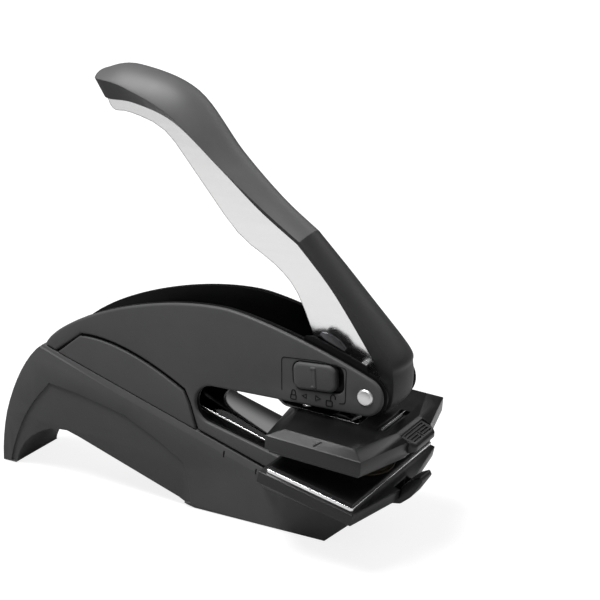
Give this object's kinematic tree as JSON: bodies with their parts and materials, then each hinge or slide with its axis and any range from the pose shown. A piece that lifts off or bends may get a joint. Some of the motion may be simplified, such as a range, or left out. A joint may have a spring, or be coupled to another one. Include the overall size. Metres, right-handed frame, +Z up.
{
  "type": "seal embosser",
  "caption": "Desk seal embosser: a long lever presses a hinged upper die holder on to a lower die on a sloping tray, over a low arched base.",
  "frame": {"origin": "centre of the underside of the front foot, on the table", "axes": "+X from the tail towards the dies, +Z up; -Y is the side with the lock button"},
  "size_m": [0.1589, 0.062, 0.1462],
  "materials": {
    "black_shell": "satin black moulded shell",
    "soft_black": "matte dark grey plastic",
    "grip_black": "soft satin black grip",
    "nose_black": "smooth black",
    "dark_steel": "black enamel",
    "bright_steel": "bright plated steel",
    "pad_black": "matte grey",
    "die_brass": "satin",
    "rubber": "matte"
  },
  "bodies": {
    "base": {"base_housing": "black_shell", "die_tray": "black_shell", "right_frame": "dark_steel", "left_frame": "dark_steel", "right_cover": "black_shell", "left_cover": "black_shell", "right_name_panel": "soft_black", "left_name_panel": "soft_black", "frame_spacers": "bright_steel", "pivot_pin": "bright_steel", "front_foot_pad": "rubber", "rear_foot_pad": "rubber", "base_screws": "bright_steel", "lever_buffer": "rubber", "spring_clip": "bright_steel", "lower_die_pad": "pad_black", "lower_die": "die_brass", "latch_pin": "bright_steel"},
    "latch": {"latch_lever": "black_shell"},
    "lock": {"lock_button": "soft_black", "lock_hook": "dark_steel"},
    "handle": {"handle_lever": "bright_steel", "handle_grip": "grip_black", "nose_cover": "nose_black", "lever_bushes": "die_brass", "roller_pin": "bright_steel", "lock_lug": "bright_steel"},
    "roller": {"press_roller": "bright_steel"},
    "jaw": {"upper_holder": "black_shell", "upper_leaf": "bright_steel", "leaf_rivets": "bright_steel", "upper_die": "die_brass", "pull_tab": "soft_black", "holder_strip": "bright_steel"}
  },
  "joints": [
    {"name": "handle_swing", "type": "hinge", "parent": "base", "child": "handle", "pos_m": [0.0377, 0, 0.0529], "axis": [0, -1, 0], "range_deg": [0, 38], "stiffness_Nm_per_rad": 0.15, "springref_deg": -34.38},
    {"name": "jaw_tilt", "type": "hinge", "parent": "base", "child": "jaw", "pos_m": [-0.003, 0, 0.0436], "axis": [0, 1, 0], "range_deg": [0, 9.5], "stiffness_Nm_per_rad": 0.3, "springref_deg": -5.73},
    {"name": "roller_turn", "type": "hinge", "parent": "handle", "child": "roller", "pos_m": [0.02602, 0, 0.04765], "axis": [0, -1, 0], "continuous": true},
    {"name": "lock_slide", "type": "slide", "parent": "base", "child": "lock", "axis": [0.9976, 0, 0.0698], "range_m": [0, 0.0023]},
    {"name": "latch_swing", "type": "hinge", "parent": "base", "child": "latch", "pos_m": [0.04, 0, 0.0162], "axis": [0, 1, 0], "range_deg": [0, 20], "stiffness_Nm_per_rad": 0.02, "springref_deg": -11.46}
  ],
  "couplings": [
    {"joint": "jaw_tilt", "follows": "handle_swing", "ratio": 0.25}
  ]
}
